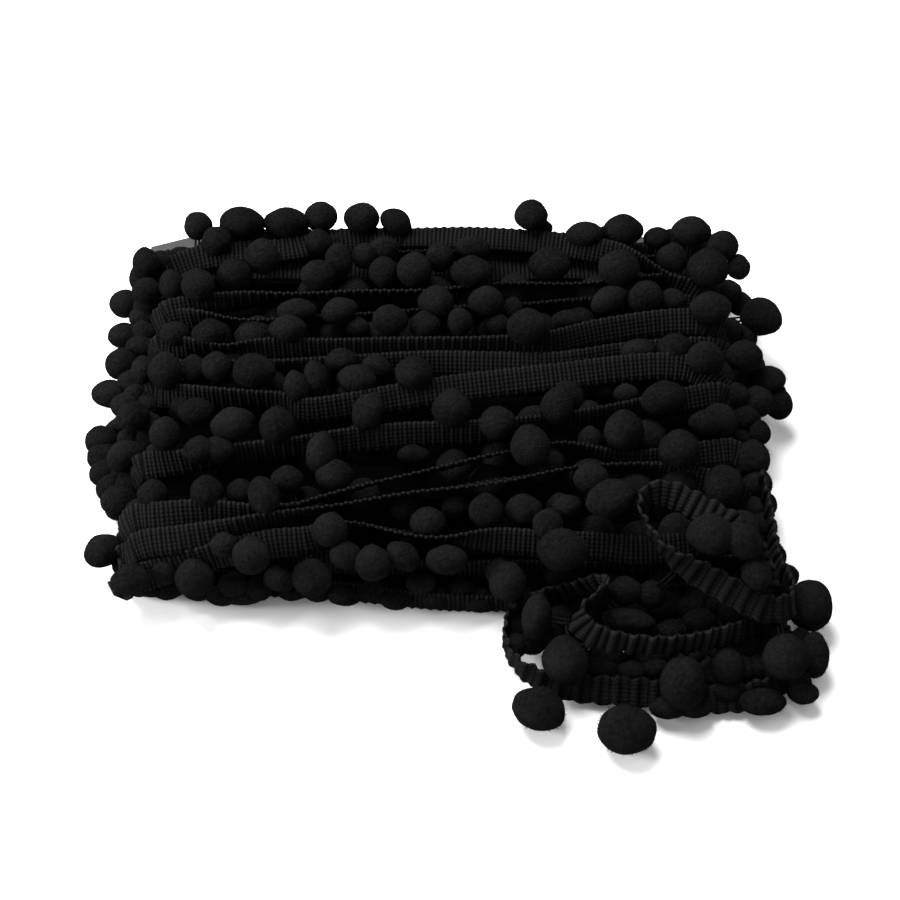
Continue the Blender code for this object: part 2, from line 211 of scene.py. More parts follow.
def greyBoard():
    material, tree, shader = newMaterial("greyBoard")
    coords = addNode(tree, "ShaderNodeTexCoord")
    fleck = addNode(tree, "ShaderNodeTexNoise", {"Scale": patternScale(board["fleck"]), "Detail": 5},
                    {"Vector": coords.outputs["Object"]})
    shade = addNode(tree, "ShaderNodeValToRGB", links={"Fac": fleck.outputs["Fac"]})
    setRamp(shade, (0.35, board["dark"]), (0.65, board["light"]))
    bump = addNode(tree, "ShaderNodeBump", {"Strength": board["bump"], "Distance": board["bumpDeep"] * mm},
                   {"Height": fleck.outputs["Fac"]})
    tree.links.new(shade.outputs[0], shader.inputs["Base Color"])
    tree.links.new(bump.outputs[0], shader.inputs["Normal"])
    shader.inputs["Roughness"].default_value = board["roughness"]
    return material


# Cotton turns packed deep in the hank, in painted shade: plain black, darker than the tape's own colour,
# since next to no light comes there
paintedDeepShade = {"colour": "#020202"}


def paintedShadeTurns():
    material, tree, shader = newMaterial("shadeBlackCottonTurns")
    shader.inputs["Base Color"].default_value = hexColour(paintedDeepShade["colour"])
    shader.inputs["Roughness"].default_value = 1
    shader.inputs["Specular IOR Level"].default_value = 0
    return material


tapeMaterial = cottonTape()
shadeBlackMaterial = paintedShadeTurns()
ballMaterial = woolPile("brushedWoolPile", 1)
threadMaterial = woolPile("twistedWoolThread", 1.6)
boardMaterial = greyBoard()
print("materials made")

# The tape's section, mm: its edges curl down a little, and it rocks about its line as it goes
tapeSize = {"width": 11, "thick": 0.9, "columns": (-1, -0.55, 0, 0.55, 1), "curl": 0.35, "splits": 14}
rocking = {"slow": 5, "slowPace": 23, "quick": 4, "quickPace": 9.1, "restHeight": 3, "freeHeight": 9}
# Its ribs, mm: on the hank it is pulled tight round the card, and it puckers where it hangs free
hankRibs = {"rib": 1.75, "step": 1.1667, "scallop": 0.7, "rise": 0, "wave": 0.25}
looseRibs = {"rib": 3.4, "step": 0.85, "scallop": 1.1, "rise": 0.4, "wave": 0.45}
deepRibs = {"rib": 1.75, "step": 3.4, "scallop": 0, "rise": 0, "wave": 0}


def smoothRoute(points, step, closed=False):  # a curve through the points, cut into even steps
    rows = np.array(points, float)
    count = len(rows)
    segments = count if closed else count - 1
    fine = []
    for k in range(segments):
        if closed:
            a, b, c, d = (rows[(k + j) % count] for j in (-1, 0, 1, 2))
        else:
            a, b, c, d = (rows[min(max(k + j, 0), count - 1)] for j in (-1, 0, 1, 2))
        for part in np.linspace(0, 1, tapeSize["splits"], endpoint=False):
            fine.append(0.5 * (2 * b + (c - a) * part + (2 * a - 5 * b + 4 * c - d) * part**2
                               + (3 * b - a - 3 * c + d) * part**3))
    fine.append(rows[0] if closed else rows[-1])
    fine = np.array(fine)
    gone = np.concatenate([[0], np.cumsum(np.linalg.norm(np.diff(fine[:, :3], axis=0), axis=1))])
    even = np.linspace(0, gone[-1], max(2, round(gone[-1] / step)) + 1)
    return np.stack([np.interp(even, gone, fine[:, k]) for k in range(fine.shape[1])], axis=1), gone[-1]


class TapeStock:  # lengths of tape that are laid one by one and cut as one piece

    def __init__(self):
        self.points, self.faces, self.places, self.edges, self.length = [], [], [], [], 0.0

    def lay(self, route, ring, seed, ribs):
        step = ribs["step"]
        rows, length = smoothRoute(route, step, closed=ring)
        spots, turns = rows[:, :3], np.radians(rows[:, 3])
        if ring:
            spots, turns = spots[:-1], turns[:-1]
            ahead = np.roll(spots, -1, axis=0) - np.roll(spots, 1, axis=0)
            side = np.tile((0.0, -1.0, 0.0), (len(spots), 1))
        else:
            ahead = np.gradient(spots, axis=0)
            side = np.cross(ahead, (0.0, 0.0, 1.0))
        ahead /= np.linalg.norm(ahead, axis=1)[:, None]
        side -= ahead * (side * ahead).sum(axis=1)[:, None]
        side /= np.linalg.norm(side, axis=1)[:, None]
        inward = np.cross(ahead, side)
        count = len(spots)
        along = np.arange(count) * step
        rock = rocking["slow"] * np.sin(along / rocking["slowPace"] + seed)
        rock += rocking["quick"] * np.sin(along / rocking["quickPace"] + 2.3 * seed)
        lift = (spots[:, 2] - rocking["restHeight"]) / (rocking["freeHeight"] - rocking["restHeight"])
        rock *= np.clip(lift, 0.1, 1)
        turns = turns + np.radians(rock)
        across = side * np.cos(turns)[:, None] + inward * np.sin(turns)[:, None]
        face = np.cross(across, ahead)
        phase = along / ribs["rib"] * math.pi
        scallop = np.abs(np.sin(phase / 2 + 0.4))
        half = tapeSize["width"] / 2 - ribs["scallop"] * (1 - scallop)
        rise = ribs["wave"] * np.sin(phase) - ribs["rise"] * np.cos(2 * phase)
        first = len(self.points)
        wide = len(tapeSize["columns"])
        for k in range(count):
            for part in tapeSize["columns"]:
                drop = tapeSize["curl"] * abs(part) ** 2
                spot = spots[k] + across[k] * (half[k] * part) - face[k] * (drop - rise[k])
                self.points.append(spot)
                self.places.append((along[k] * weave["rib"] / ribs["rib"], part * tapeSize["width"] / 2))
        last = count if ring else count - 1
        for k in range(last):
            onward = (k + 1) % count
            for j in range(wide - 1):
                self.faces.append((first + k * wide + j, first + onward * wide + j,
                                   first + onward * wide + j + 1, first + k * wide + j + 1))
        self.edges.extend(spots + across * half[:, None])
        self.length += length
        return spots, across, face

    def cut(self, name, shadeBlackFrom=None):
        mesh = bpy.data.meshes.new(name)
        mesh.from_pydata([Vector(p) * mm for p in self.points], [], self.faces)
        layer = mesh.uv_layers.new(name="weave")
        for loop in mesh.loops:
            layer.data[loop.index].uv = self.places[loop.vertex_index]
        mesh.shade_smooth()
        obj = bpy.data.objects.new(name, mesh)
        bpy.context.scene.collection.objects.link(obj)
        mesh.materials.append(tapeMaterial)
        # the faces from here on take the painted-shade black
        if shadeBlackFrom is not None:
            mesh.materials.append(shadeBlackMaterial)
            for face in mesh.polygons[shadeBlackFrom:]:
                face.material_index = 1
        solid = obj.modifiers.new("thickness", "SOLIDIFY")
        solid.thickness = tapeSize["thick"] * mm
        solid.offset = 0
        pick(obj)
        bpy.ops.object.modifier_apply(modifier=solid.name)
        return obj


def pick(obj, others=()):
    bpy.ops.object.select_all(action="DESELECT")
    for one in (obj, *others):
        one.select_set(True)
    bpy.context.view_layer.objects.active = obj


# Turns of the hank over its top, from the back to the front: px, py, height, turn.
# At turn 0 the tape lies flat with its fringe edge to the front, at 90 it stands with that edge down.
topRuns = [
    [(150, 268, 33, 40), (200, 258, 36, 20), (245, 252, 37, 15), (290, 249, 37, 15), (340, 240, 37, 14),
     (420, 237, 37, 12), (480, 238, 38, 14), (550, 243, 38, 22), (600, 251, 38, 34), (632, 260, 38, 80),
     (667, 281, 37, 118), (690, 292, 35, 118), (735, 306, 31, 90)],
    [(135, 316, 33, 84), (170, 312, 35, 82), (210, 305, 36, 84), (250, 300, 36, 96), (290, 297, 36, 118),
     (340, 296, 37, 124), (420, 293, 37, 126), (500, 286, 37, 126), (595, 284, 37, 124), (650, 281, 36, 115),
     (700, 288, 34, 90), (738, 296, 30, 80)],
    [(140, 324, 29, 100), (190, 320, 33, 122), (228, 319, 33, 126), (269, 323, 33, 124), (330, 322, 31, 110),
     (430, 316, 30, 100), (500, 312, 30, 96), (600, 306, 30, 96), (690, 308, 30, 96), (735, 314, 29, 90)],
    [(146, 346, 33, 110), (180, 348, 35, 124), (225, 349, 35, 124), (272, 349, 36, 88), (350, 349, 37, 84),
     (440, 347, 37, 84), (540, 344, 37, 80), (600, 332, 38, 52), (660, 323, 38, 54), (700, 322, 37, 56),
     (737, 329, 33, 64)],
    [(140, 374, 31, 90), (200, 372, 33, 90), (270, 370, 34, 86), (340, 368, 34, 70), (425, 364, 35, 48),
     (500, 365, 35, 42), (560, 365, 34, 46), (620, 356, 32, 60), (690, 350, 31, 70), (740, 352, 29, 80)],
    [(130, 395, 31, 96), (180, 397, 35, 96), (250, 399, 36, 94), (283, 403, 36, 84), (305, 411, 37, 60),
     (350, 406, 38, 50), (400, 397, 38, 45), (450, 389, 38, 42), (500, 383, 38, 40), (560, 376, 38, 40),
     (620, 369, 38, 40), (667, 366, 38, 36), (700, 372, 36, 60), (738, 392, 31, 72)],
    [(130, 466, 31, 84), (185, 462, 35, 84), (235, 455, 36, 78), (290, 449, 37, 72), (340, 442, 37, 68),
     (400, 436, 37, 66), (470, 433, 37, 70), (530, 428, 36, 80), (585, 420, 35, 74), (650, 408, 34, 66),
     (712, 396, 34, 56), (745, 400, 30, 70)],
    [(128, 518, 31, 60), (160, 516, 35, 52), (205, 513, 36, 56), (255, 514, 36, 84), (290, 508, 37, 118),
     (316, 501, 37, 125), (382, 482, 38, 127), (450, 467, 38, 126), (505, 453, 37, 124), (560, 448, 33, 100),
     (628, 463, 32, 70), (710, 454, 32, 62), (746, 452, 30, 70)],
    [(128, 548, 27, 46), (150, 543, 31, 40), (176, 540, 33, 42), (215, 534, 34, 62), (250, 526, 35, 92),
     (316, 510, 36, 124), (382, 499, 37, 127), (450, 489, 38, 126), (510, 480, 38, 125), (574, 469, 37, 124),
     (640, 470, 33, 100), (705, 482, 31, 80), (752, 492, 28, 80)],
    [(134, 580, 20, 84), (200, 560, 26, 78), (250, 548, 29, 56), (276, 543, 31, 46), (310, 540, 32, 56),
     (340, 528, 33, 110), (365, 526, 33, 125), (409, 534, 33, 126), (447, 539, 32, 112), (500, 541, 31, 66),
     (545, 544, 31, 58), (600, 547, 31, 44), (640, 550, 31, 44), (700, 545, 29, 60), (758, 530, 26, 80)],
]
# The turns that show on the hank's front and back walls: y, height and turn from the left end to the right
wallRuns = [
    [(-70, 17, 88), (-73, 18, 84), (-76, 17, 92), (-77, 18, 88), (-74, 17, 92)],
    [(-70, 8, 94), (-76, 7, 88), (-84, 7, 92), (-84, 7, 90), (-76, 7, 88)],
    [(66, 30, 6), (67, 30, 8), (66, 30, 6), (67, 30, 5), (66, 30, 6)],
    [(72, 30.5, 6), (76, 30.5, 5), (77, 30.5, 6), (78, 30.5, 8), (76, 30, 6)],
    [(72, 30, -62), (75, 31, -70), (75, 31, -60), (75, 31, -66), (72, 29, -62)],
    [(74, 12, -84), (76, 13, -92), (76, 12, -88), (76, 13, -90), (73, 12, -86)],
]
# The hank's ends, top, foot and inside, mm, and the tape's turn where it bends down at an end
hankForm = {"endX": 116, "topX": 110, "layX": 88, "layTurn": 34, "shoulder": 29, "waist": 18.5, "ankle": 8,
            "foot": 2.6, "footLeft": -72, "footRight": -79, "wallX": 112, "sway": 0.9}
innerRings = {"count": 12, "front": -68, "back": 74, "inX": 4, "top": 24}


def layDown(x, turn):  # a turn of tape lies down where it comes to the hank's end
    share = min(max((abs(x) - hankForm["layX"]) / (hankForm["topX"] - hankForm["layX"]), 0), 1)
    return turn * (1 - share) + hankForm["layTurn"] * share


def footLimit(x):  # how far to the front a turn's foot may come
    share = (x + 100) / 200
    return hankForm["footLeft"] * (1 - share) + hankForm["footRight"] * share


def endPoints(side, y, topZ, turn, sway):  # the bend over one end, from the top down
    out = hankForm["endX"] + sway
    lower = max(y, footLimit(side * 100))
    shoulder = max(min(topZ - 4, hankForm["shoulder"]), 6)
    return [
        (side * (out - 2.5), y, shoulder, 0.6 * turn + 8),
        (side * out, (y + lower) / 2, min(hankForm["waist"], shoulder), 24),
        (side * (out - 2.5), lower, min(hankForm["ankle"], shoulder - 1), 14),
    ]


def turnRoute(top, number):  # one whole turn: over the top, down an end, back underneath and up
    sway = hankForm["sway"] * math.sin(2.1 * number)
    right, left = top[-1], top[0]
    route = list(top)
    route += endPoints(1, right[1], right[2], right[3], sway)
    foot = hankForm["foot"]
    spread = np.linspace(100, -100, 6)
    for k, x in enumerate(spread):
        share = (k + 0.5) / len(spread)
        y = max(right[1] * (1 - share) + left[1] * share, footLimit(x))
        route.append((x, y, foot + 0.5 * (k % 2), 3))
    route += list(reversed(endPoints(-1, left[1], left[2], left[3], sway)))
    return route


wound = TapeStock()
topRoutes = []
for number, run in enumerate(topRuns):
    top = [(*onHeight(px, py, z), turn) for px, py, z, turn in run]
    top = [(min(max(x, -hankForm["topX"]), hankForm["topX"]), y, z, layDown(x, turn))
           for x, y, z, turn in top]
    topRoutes.append(top)
    wound.lay(turnRoute(top, number), ring=True, seed=number, ribs=hankRibs)
for number, run in enumerate(wallRuns):
    spread = np.linspace(-hankForm["wallX"], hankForm["wallX"], len(run))
    top = [(x, y, z, turn) for x, (y, z, turn) in zip(spread, run)]
    wound.lay(turnRoute(top, 20 + number), ring=True, seed=20 + number, ribs=hankRibs)
outerPoints = len(wound.points)
outerFaces = len(wound.faces)
# Plain turns that fill the inside, in the painted-shade black
for number, y in enumerate(np.linspace(innerRings["front"], innerRings["back"], innerRings["count"])):
    z = innerRings["top"]
    x = hankForm["endX"] - innerRings["inX"]
    ring = [(-100, y, z, 25), (-40, y + 3, z, 35), (20, y - 2, z, 28), (100, y + 2, z, 30),
            (x - 2, y, z - 5, 24), (x, y, 18, 20), (x - 2, y, 10, 20), (100, y, 6, 10), (0, y, 6, 10),
            (-100, y, 6, 10), (2 - x, y, 10, 20), (-x, y, 18, 20), (2 - x, y, z - 5, 24)]
    wound.lay(ring, ring=True, seed=40 + number, ribs=deepRibs)
woundEdges = np.array(wound.edges)
woundTape = wound.cut("woundTape", shadeBlackFrom=outerFaces)
print("wound tape:", round(wound.length), "mm")

# The loose end, the route of the part's own solid: x, y, z and turn
looseRoute = [
    (120.3, -40, 26, 88), (121.5, -54, 25, 88), (121.3, -68, 24, 88), (122, -79, 23, 88),
    (125.5, -89, 24, 95), (124.5, -98, 26, 110), (117, -102, 28, 130), (108, -100, 31, 140),
    (98, -96, 35, 138), (88, -92, 39, 108), (80, -87, 42, 74), (75, -80, 44, 68),
    (72, -73, 46, 70), (75, -66.5, 47.5, 62), (83, -65.5, 46.5, 38), (92, -69.5, 45, 25),
    (102, -75, 43, 25), (110, -83, 39, 38), (115, -90, 30, 60), (118, -93, 20, 80),
    (122, -97, 11, 90), (127, -106, 8, 90), (124, -116, 8, 100), (114, -122.5, 7, 122),
    (101, -124.5, 6, 138), (86, -123.5, 6, 140), (72, -122, 6, 140), (58, -121, 6, 138),
    (45, -120, 7, 128), (35, -117, 8, 110), (28, -112, 9, 96), (24, -104, 11, 90),
    (25, -96, 13, 90), (30, -90, 12.5, 90), (38, -87.5, 14.5, 90), (47, -87.5, 18, 90),
    (55, -88.5, 23, 88), (59, -92.5, 28, 88), (57, -98, 31, 84), (51.5, -101.5, 30.5, 72),
    (48.5, -105, 29.5, 56), (51, -110, 27.5, 58), (57, -113, 26, 74), (65, -114, 25, 90),
    (75, -114.5, 24, 92), (87, -113, 23, 86), (99, -109, 21, 78), (108, -104, 18, 78),
    (113, -99, 16, 84), (112, -94.5, 10.5, 100), (108, -90.5, 7.5, 125), (101, -89, 5, 150),
    (92, -89.5, 3.4, 166), (80, -90, 2.8, 172), (68, -90, 2.8, 172), (58, -90.5, 4.2, 154),
    (50, -93.5, 6.8, 124), (46.5, -99, 7.8, 104), (50, -104.5, 6.8, 124), (58, -107.5, 4.2, 154),
    (68, -108, 2.8, 172), (80, -107.5, 2.8, 172), (92, -106, 2.8, 172), (102, -104, 3, 170),
]
loose = TapeStock()
loose.lay(looseRoute, ring=False, seed=3, ribs=looseRibs)
looseEdges = np.array(loose.edges)
looseTape = loose.cut("looseTape")
print("loose tape:", round(loose.length), "mm")

# Balls: px, py, wide, tall (pixels), tilt (degrees), height of the middle
ballSize = {"usual": 16, "tip": 0.05, "lump": 0.9, "fibres": 150, "fibreLong": 1.3, "fibreWide": 0.28}
topBalls = [
    (198, 226, 30, 30, 35, 41), (217, 241, 32, 32, 35, 40), (242, 223, 46, 35, 0, 42),
    (287, 223, 46, 33, 0, 41), (321, 217, 34, 33, 10, 42), (362, 218, 36, 33, 0, 42),
    (396, 222, 34, 28, -30, 41), (531, 215, 34, 33, 0, 45), (585, 235, 40, 29, 0, 40),
    (623, 230, 41, 33, 0, 41), (657, 238, 28, 24, 0, 38), (691, 231, 40, 32, 0, 41),
    (722, 246, 34, 33, 0, 37), (672, 241, 30, 26, 0, 35), (738, 267, 24, 28, 0, 31),
    (146, 263, 28, 34, 10, 36), (172, 285, 26, 33, 0, 40), (198, 285, 34, 36, 0, 43),
    (234, 275, 36, 36, 0, 41), (262, 257, 36, 38, 0, 44), (319, 243, 28, 30, 0, 42),
    (318, 275, 36, 33, 0, 43), (339, 261, 27, 38, 8, 41), (364, 256, 26, 28, 0, 41),
    (384, 249, 31, 27, 0, 42), (383, 272, 29, 34, 0, 41), (414, 270, 36, 38, -10, 43),
    (440, 257, 29, 32, 0, 41), (472, 248, 36, 26, 0, 42), (472, 272, 42, 34, 0, 44),
    (550, 264, 42, 36, 0, 43), (619, 268, 42, 40, 0, 44), (672, 259, 32, 34, 0, 42),
    (708, 268, 42, 42, 0, 43), (147, 291, 31, 29, 0, 34), (297, 311, 40, 27, 0, 40),
    (288, 329, 38, 30, 0, 43), (339, 311, 38, 28, 20, 42), (390, 320, 36, 33, 0, 42),
    (425, 325, 31, 30, 0, 39), (357, 328, 26, 24, 0, 36), (436, 302, 36, 36, 0, 43),
    (486, 302, 36, 34, 0, 43), (460, 322, 26, 31, 0, 40), (527, 327, 41, 40, 0, 44),
    (498, 325, 26, 24, 0, 37), (513, 309, 20, 26, 0, 36), (609, 300, 40, 28, 25, 40),
    (645, 297, 38, 34, 20, 41), (567, 321, 32, 24, 0, 36), (672, 301, 27, 27, 0, 37),
    (711, 308, 42, 35, 0, 41), (175, 334, 31, 27, 0, 38), (209, 334, 36, 28, 0, 39),
    (250, 336, 32, 26, 0, 38), (216, 247, 34, 24, 0, 33), (258, 240, 34, 26, 0, 33),
    (301, 239, 36, 26, 0, 33), (338, 240, 30, 20, 0, 34), (238, 237, 26, 18, 0, 34),
    (279, 235, 26, 18, 0, 34), (160, 262, 32, 24, 0, 31), (183, 258, 34, 24, 0, 31),
    (540, 228, 26, 20, 0, 36), (604, 238, 26, 24, 0, 34), (142, 278, 26, 34, 0, 27),
    (148, 306, 30, 26, 0, 26), (142, 333, 28, 26, 0, 24), (143, 370, 24, 31, 0, 37),
    (165, 371, 34, 41, 0, 42), (217, 367, 31, 33, 0, 42), (254, 371, 44, 38, 0, 43),
    (194, 370, 25, 33, 0, 36), (297, 387, 26, 36, 12, 42), (316, 378, 26, 39, 8, 43),
    (341, 361, 34, 27, 0, 40), (357, 379, 41, 31, -10, 42), (377, 368, 32, 27, -20, 39),
    (414, 374, 39, 38, 0, 42), (639, 350, 36, 24, 0, 38), (674, 348, 35, 32, 0, 39),
    (705, 358, 38, 36, 0, 40), (196, 412, 36, 31, 0, 40), (165, 434, 31, 37, 0, 42),
    (233, 424, 46, 36, 15, 43), (277, 426, 38, 42, 0, 43), (199, 450, 32, 30, 0, 40),
    (218, 450, 32, 30, 0, 39), (368, 412, 31, 43, -25, 44), (321, 453, 31, 45, -6, 44),
    (334, 475, 38, 34, 0, 40), (452, 409, 41, 42, 0, 43), (498, 423, 37, 37, 0, 43),
    (557, 407, 35, 44, -15, 42), (626, 394, 26, 22, 0, 36), (663, 398, 46, 36, 10, 41),
    (624, 431, 42, 44, 0, 42), (530, 446, 40, 46, 0, 44), (705, 423, 34, 27, 0, 38),
    (680, 449, 42, 42, 0, 41), (590, 441, 26, 32, 0, 33), (207, 492, 34, 36, 0, 40),
    (240, 492, 27, 29, 0, 37), (264, 496, 32, 43, 20, 42), (287, 480, 34, 31, 0, 37),
    (330, 530, 37, 38, -10, 36), (428, 523, 37, 35, 0, 34), (404, 507, 30, 30, 0, 31),
    (456, 506, 30, 27, 0, 31), (486, 511, 35, 37, 0, 36), (524, 509, 38, 32, 0, 36),
    (591, 478, 36, 34, 0, 38), (413, 455, 32, 22, 0, 33), (560, 505, 26, 26, 0, 32),
]
endBalls = [
    (761, 317, 43, 41, -20, 26), (744, 356, 38, 34, 0, 33), (768, 380, 36, 30, 0, 21),
    (757, 402, 36, 34, 0, 24), (779, 404, 28, 34, 0, 14), (760, 433, 22, 27, 0, 22),
    (752, 459, 36, 41, 0, 25), (125, 304, 31, 31, 0, 21), (124, 336, 33, 29, 0, 23),
    (121, 364, 33, 34, 0, 22), (110, 394, 38, 31, 0, 16), (134, 416, 33, 32, 0, 32),
    (126, 406, 32, 30, 0, 18), (136, 396, 26, 26, 0, 22), (124, 424, 26, 22, 0, 16),
    (150, 423, 26, 24, 0, 27), (118, 430, 26, 24, 0, 13), (101, 441, 33, 33, 0, 15),
    (124, 456, 38, 33, 35, 27), (103, 473, 28, 30, 0, 13), (118, 501, 36, 35, 0, 20),
    (153, 494, 32, 31, 0, 36), (103, 551, 40, 35, 30, 15), (104, 457, 34, 34, 0, 13),
    (112, 489, 34, 32, 0, 14), (121, 507, 34, 32, 0, 14), (132, 440, 30, 30, 0, 20),
    (146, 472, 30, 30, 0, 25), (140, 512, 30, 30, 0, 20), (131, 540, 32, 30, 0, 14),
    (128, 565, 32, 30, 0, 9), (140, 348, 30, 28, 0, 22), (132, 382, 30, 28, 0, 20),
    (152, 404, 30, 28, 0, 26), (160, 454, 30, 28, 0, 28), (143, 318, 28, 26, 0, 24),
    (150, 280, 28, 28, 0, 24), (742, 338, 32, 30, 0, 20), (745, 376, 30, 28, 0, 18),
    (745, 418, 32, 30, 0, 22), (742, 440, 30, 30, 0, 16), (757, 484, 32, 34, 0, 20),
    (752, 512, 32, 34, 0, 16), (763, 505, 28, 30, 0, 12), (728, 470, 32, 30, 0, 22),
    (735, 395, 30, 26, 0, 28), (728, 330, 30, 26, 0, 26), (728, 292, 28, 26, 0, 26),
    (740, 304, 24, 26, 0, 20), (129, 487, 28, 40, 0, 17), (147, 441, 30, 34, 0, 20),
    (124, 474, 26, 30, 0, 16), (129, 562, 24, 36, 0, 12), (753, 366, 24, 28, 0, 18),
    (775, 392, 22, 24, 0, 15),
]
# px, py, wide, tall, tilt and y, on the front wall
frontBalls = [
    (130, 580, 40, 32, 10, -86), (132, 574, 22, 26, 0, -84), (241, 597, 46, 18, 0, -80),
    (150, 590, 34, 16, 0, -78), (165, 571, 30, 31, 0, -80), (194, 578, 39, 42, 0, -84),
    (251, 556, 39, 41, 0, -83), (280, 578, 34, 30, 0, -80), (312, 578, 41, 42, 0, -85),
    (345, 555, 32, 30, 0, -80), (373, 563, 37, 39, 0, -83), (403, 556, 37, 30, -35, -80),
    (233, 585, 32, 27, 0, -80), (258, 589, 30, 26, 0, -80), (168, 589, 32, 24, 0, -76),
    (140, 587, 28, 22, 0, -73), (222, 595, 34, 24, 0, -80), (198, 592, 28, 20, 0, -77),
    (292, 591, 30, 22, 0, -79), (318, 592, 30, 22, 0, -79), (345, 595, 36, 24, 0, -81),
    (370, 590, 30, 24, 0, -80), (396, 599, 34, 24, 0, -83), (435, 598, 32, 24, 0, -82),
    (462, 590, 30, 26, 0, -80), (520, 598, 34, 30, 0, -80), (550, 600, 34, 30, 0, -78),
    (582, 602, 34, 28, 0, -79), (612, 600, 34, 28, 0, -78), (640, 601, 32, 26, 0, -79),
    (668, 598, 34, 28, 0, -78), (698, 596, 34, 28, 0, -77), (728, 592, 34, 28, 0, -76),
    (447, 560, 42, 32, 0, -83), (481, 600, 34, 28, 0, -82), (421, 583, 31, 26, 0, -80),
    (224, 545, 28, 28, 0, -76), (500, 572, 30, 30, 0, -80), (560, 575, 34, 32, 0, -78),
    (610, 580, 34, 32, 0, -76), (665, 575, 34, 32, 0, -74), (715, 570, 34, 32, 0, -72),
]
looseBalls = [
    (611, 498, 53, 40, 18, 46), (566, 507, 32, 26, 20, 36), (548, 525, 32, 34, 0, 36),
    (562, 550, 50, 46, 0, 38), (508, 582, 38, 43, -10, 24), (537, 617, 31, 50, -8, 20),
    (566, 660, 48, 52, 0, 15), (539, 709, 55, 46, -12, 8.5), (627, 730, 59, 54, 0, 9),
    (683, 684, 46, 58, 0, 15), (727, 666, 35, 38, 0, 13), (786, 657, 46, 50, -25, 20),
    (814, 655, 30, 50, 0, 10), (803, 693, 32, 25, 0, 7), (762, 702, 48, 29, 0, 7.5),
    (810, 606, 46, 55, 0, 12), (789, 576, 20, 24, 0, 10), (625, 591, 34, 32, 0, 24),
    (651, 595, 31, 31, 0, 22), (629, 621, 54, 27, -8, 20), (671, 631, 32, 26, 0, 13),
    (711, 535, 50, 44, -12, 46), (744, 541, 34, 48, 45, 46), (757, 574, 30, 36, 0, 38),
    (590, 632, 30, 24, 0, 10), (761, 528, 32, 36, 0, 15), (770, 557, 32, 36, 0, 12),
    (774, 592, 34, 32, 0, 9), (700, 622, 36, 30, 0, 9), (735, 612, 34, 32, 0, 8),
    (650, 655, 32, 30, 0, 8), (607, 655, 34, 30, 0, 8), (690, 655, 30, 28, 0, 8),
    (585, 610, 34, 32, 0, 9), (745, 645, 32, 30, 0, 8), (515, 646, 24, 28, 0, 8),
    (562, 618, 32, 30, 0, 9), (600, 667, 36, 24, 0, 7), (632, 671, 32, 22, 0, 7),
    (654, 668, 30, 26, 0, 7), (712, 674, 36, 32, 0, 7), (741, 670, 32, 32, 0, 7),
    (726, 690, 34, 26, 0, 6), (762, 626, 30, 28, 0, 8), (768, 650, 30, 28, 0, 8),
    (516, 626, 24, 32, 0, 8), (531, 643, 30, 26, 0, 7), (550, 637, 30, 30, 0, 7),
    (521, 605, 28, 30, 0, 9), (800, 640, 24, 26, 0, 8), (775, 672, 28, 26, 0, 7),
    (660, 607, 34, 26, 0, 6), (690, 606, 34, 26, 0, 6), (718, 604, 34, 26, 0, 6),
    (757, 668, 26, 28, 0, 7), (668, 708, 38, 24, 0, 6), (694, 706, 38, 26, 0, 6),
    (722, 651, 32, 22, 0, 6), (757, 650, 26, 24, 0, 7), (704, 664, 24, 18, 0, 6),
    (738, 654, 26, 22, 0, 6), (776, 578, 22, 26, 0, 12), (772, 636, 22, 24, 0, 8),
    (798, 680, 28, 22, 0, 7), (641, 606, 30, 26, 0, 7),
]


def modelBall(name, levels, seed, fibres):
    bpy.ops.object.select_all(action="DESELECT")
    bpy.ops.mesh.primitive_ico_sphere_add(subdivisions=levels, radius=ballSize["usual"] / 2 * mm)
    obj = bpy.context.object
    obj.name = name
    draw = random.Random(seed)
    bpy.ops.object.mode_set(mode="EDIT")
    bm = bmesh.from_edit_mesh(obj.data)
    radius = ballSize["usual"] / 2 * mm
    for vertex in bm.verts:
        up = vertex.co.z / radius
        pull = max(0.0, up - 0.35) / 0.65
        squeeze = 1 - 0.12 * pull**1.5
        vertex.co.x *= squeeze
        vertex.co.y *= squeeze
        vertex.co.z += radius * ballSize["tip"] * pull**2
    bmesh.update_edit_mesh(obj.data)
    bpy.ops.object.mode_set(mode="OBJECT")
    lumps = bpy.data.textures.new(name + "Lumps", "CLOUDS")
    lumps.noise_basis = "IMPROVED_PERLIN"
    lumps.noise_scale = 0.0075
    lumps.noise_depth = 1
    push = obj.modifiers.new("lumps", "DISPLACE")
    push.texture = lumps
    push.texture_coords = "LOCAL"
    push.strength = ballSize["lump"] * mm * 2
    push.mid_level = 0.5
    obj.data.transform(Matrix.Translation(Vector((seed * 0.031, seed * 0.017, 0))))
    bpy.ops.object.modifier_apply(modifier=push.name)
    obj.data.transform(Matrix.Translation(Vector((-seed * 0.031, -seed * 0.017, 0))))
    obj.data.shade_smooth()
    if fibres:
        bm = bmesh.new()
        bm.from_mesh(obj.data)
        bm.faces.ensure_lookup_table()
        skin = list(bm.faces)
        for _ in range(fibres):
            face = draw.choice(skin)
            weights = sorted((draw.random(), draw.random()))
            a, b, c = (vertex.co for vertex in face.verts)
            root = a * weights[0] + b * (weights[1] - weights[0]) + c * (1 - weights[1])
            lean = Vector((draw.uniform(-1, 1), draw.uniform(-1, 1), draw.uniform(-1, 1))) * 0.6
            reach = ballSize["fibreLong"] * mm * draw.uniform(0.5, 1)
            tipEnd = root + (face.normal + lean).normalized() * reach
            wide = face.normal.cross(lean).normalized() * ballSize["fibreWide"] * mm / 2
            base = root - face.normal * 0.3 * mm
            bm.faces.new([bm.verts.new(base - wide), bm.verts.new(base + wide), bm.verts.new(tipEnd)])
        bm.to_mesh(obj.data)
        bm.free()
    return obj


